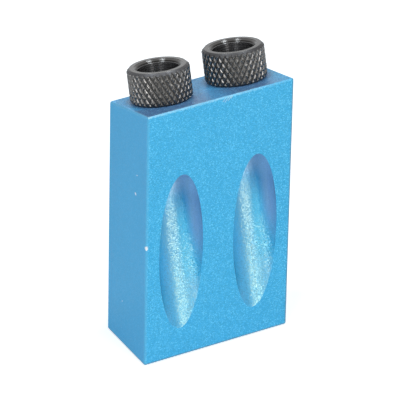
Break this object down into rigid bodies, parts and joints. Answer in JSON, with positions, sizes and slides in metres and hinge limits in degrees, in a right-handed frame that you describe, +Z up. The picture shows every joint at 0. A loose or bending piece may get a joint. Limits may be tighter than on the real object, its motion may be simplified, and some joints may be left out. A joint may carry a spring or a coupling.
{
  "type": "pocket hole jig",
  "caption": "Wedge-topped drilling block with two slanted through bores, each lined by a lift-out drill bushing with a knurled head.",
  "frame": {"origin": "centre of the block's base, on the surface that the block stands on", "axes": "+Z up along the block's height, -Y out of the front working face where the slanted bores come out, +X to the right seen from the front"},
  "size_m": [0.04, 0.0202, 0.0774],
  "materials": {
    "anodised_block": "bead blasted and light blue anodised, satin with a fine sparkle",
    "bushing_steel": "hardened steel with a black oxide finish, coarse diamond knurl on the head"
  },
  "bodies": {
    "block": {"jig_body": "anodised_block"},
    "left_bushing": {"drill_bushing_left": "bushing_steel"},
    "right_bushing": {"drill_bushing_right": "bushing_steel"}
  },
  "joints": [
    {"name": "left_bushing_slide", "type": "slide", "parent": "block", "child": "left_bushing", "axis": [0, 0.2756, 0.9613], "range_m": [0, 0.014]},
    {"name": "right_bushing_slide", "type": "slide", "parent": "block", "child": "right_bushing", "axis": [0, 0.2756, 0.9613], "range_m": [0, 0.014]}
  ]
}
